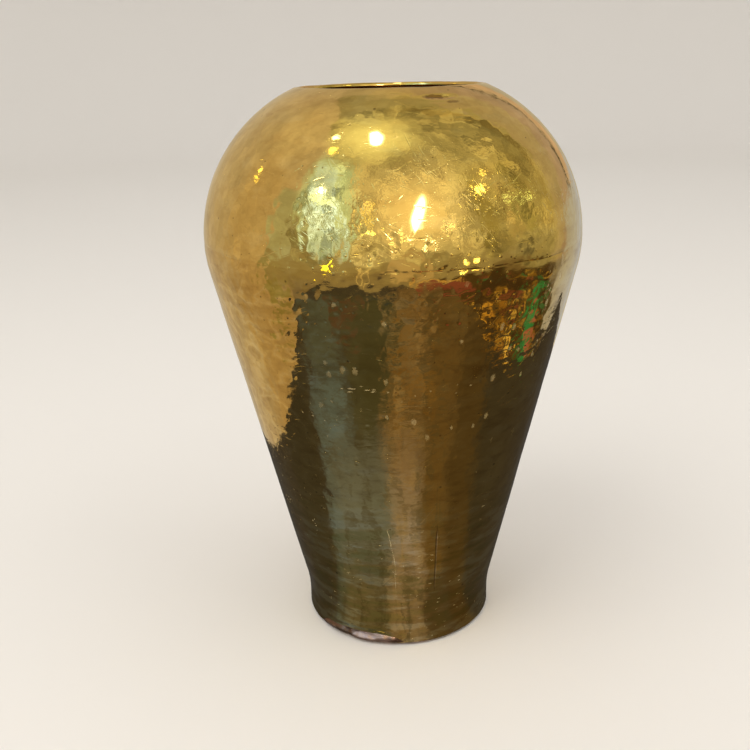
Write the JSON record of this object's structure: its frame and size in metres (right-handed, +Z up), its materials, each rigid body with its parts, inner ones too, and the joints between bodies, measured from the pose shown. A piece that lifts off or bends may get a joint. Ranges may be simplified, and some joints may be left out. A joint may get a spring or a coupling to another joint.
{
  "type": "hammered brass planter pot",
  "caption": "Tall hammered brass planter pot with a narrow foot, straight taper, domed shoulder and plain open mouth.",
  "frame": {"origin": "centre of the foot, on the surface that the pot stands on", "axes": "+Z up along the pot's axis, front towards -Y"},
  "size_m": [0.3, 0.3, 0.45],
  "materials": {
    "shoulder_brass": "hammered and polished yellow brass, lacquered, lightly stained",
    "wall_brass": "hammered and polished yellow brass with brown tarnish towards the foot",
    "base_brass": "pinkish copper-rich sheet, dull and scratched",
    "rim_brass": "drawn brass wire",
    "spelter": "brazing spelter, filed flush and slightly paler than the sheet"
  },
  "bodies": {
    "root": {"shoulder_shell": "shoulder_brass", "taper_wall": "wall_brass", "base_pan": "base_brass", "rim_wire": "rim_brass", "girth_braze": "spelter", "side_braze": "spelter", "base_braze": "spelter"}
  },
  "joints": []
}
